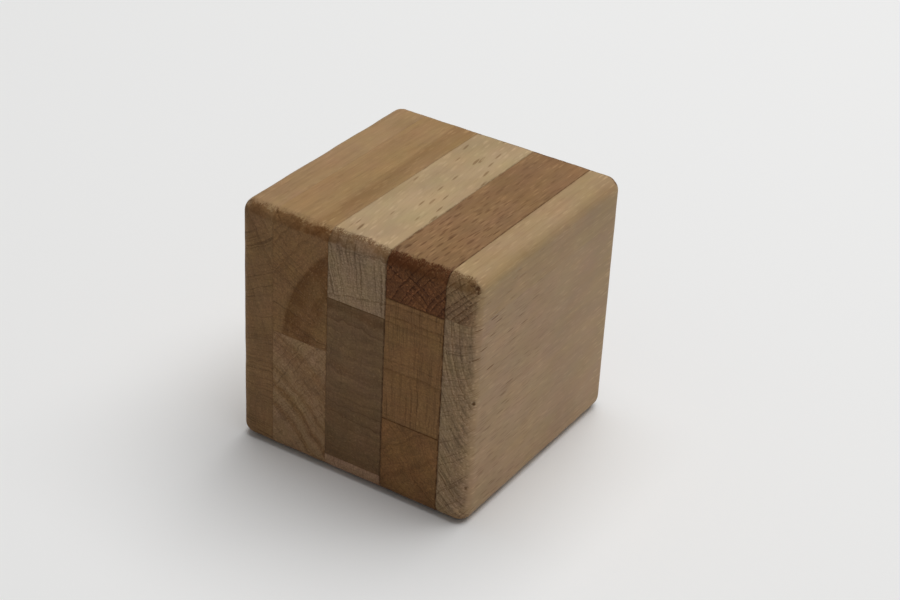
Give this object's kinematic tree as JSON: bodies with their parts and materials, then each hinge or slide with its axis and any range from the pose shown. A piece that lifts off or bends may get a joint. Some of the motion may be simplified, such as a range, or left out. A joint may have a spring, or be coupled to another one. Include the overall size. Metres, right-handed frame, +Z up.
{
  "type": "wooden cube",
  "caption": "Solid cube laminated from glued beech staves, with rounded edges and end grain on two opposite faces.",
  "frame": {"origin": "middle of the base face, on the surface that the cube stands on", "axes": "+Z up, +X across the glued layers, +Y along the grain from the front end grain to the back end grain"},
  "size_m": [0.05, 0.05, 0.05],
  "materials": {
    "layer1_stave": "sanded, unvarnished beech, warm brown",
    "layer2_lower_stave": "sanded, unvarnished beech, light golden brown with wide rings",
    "layer2_upper_stave": "sanded, unvarnished beech, golden brown with dark arc rings",
    "layer3_lower_stave": "sanded, unvarnished beech, pinkish brown",
    "layer3_middle_stave": "sanded, unvarnished beech, grey brown with lying rings",
    "layer3_upper_stave": "sanded, unvarnished beech, pale beige with dark ray flecks",
    "layer4_lower_stave": "sanded, unvarnished beech, mottled tan",
    "layer4_middle_stave": "sanded, unvarnished beech, warm tan",
    "layer4_upper_stave": "sanded, unvarnished beech, dark red brown",
    "layer5_lower_stave": "sanded, unvarnished beech, pale with fine dark flecks",
    "layer5_upper_stave": "sanded, unvarnished beech, pale yellowish brown"
  },
  "bodies": {
    "root": {"layer1_stave": "layer1_stave", "layer2_lower_stave": "layer2_lower_stave", "layer2_upper_stave": "layer2_upper_stave", "layer3_lower_stave": "layer3_lower_stave", "layer3_middle_stave": "layer3_middle_stave", "layer3_upper_stave": "layer3_upper_stave", "layer4_lower_stave": "layer4_lower_stave", "layer4_middle_stave": "layer4_middle_stave", "layer4_upper_stave": "layer4_upper_stave", "layer5_lower_stave": "layer5_lower_stave", "layer5_upper_stave": "layer5_upper_stave"}
  },
  "joints": []
}
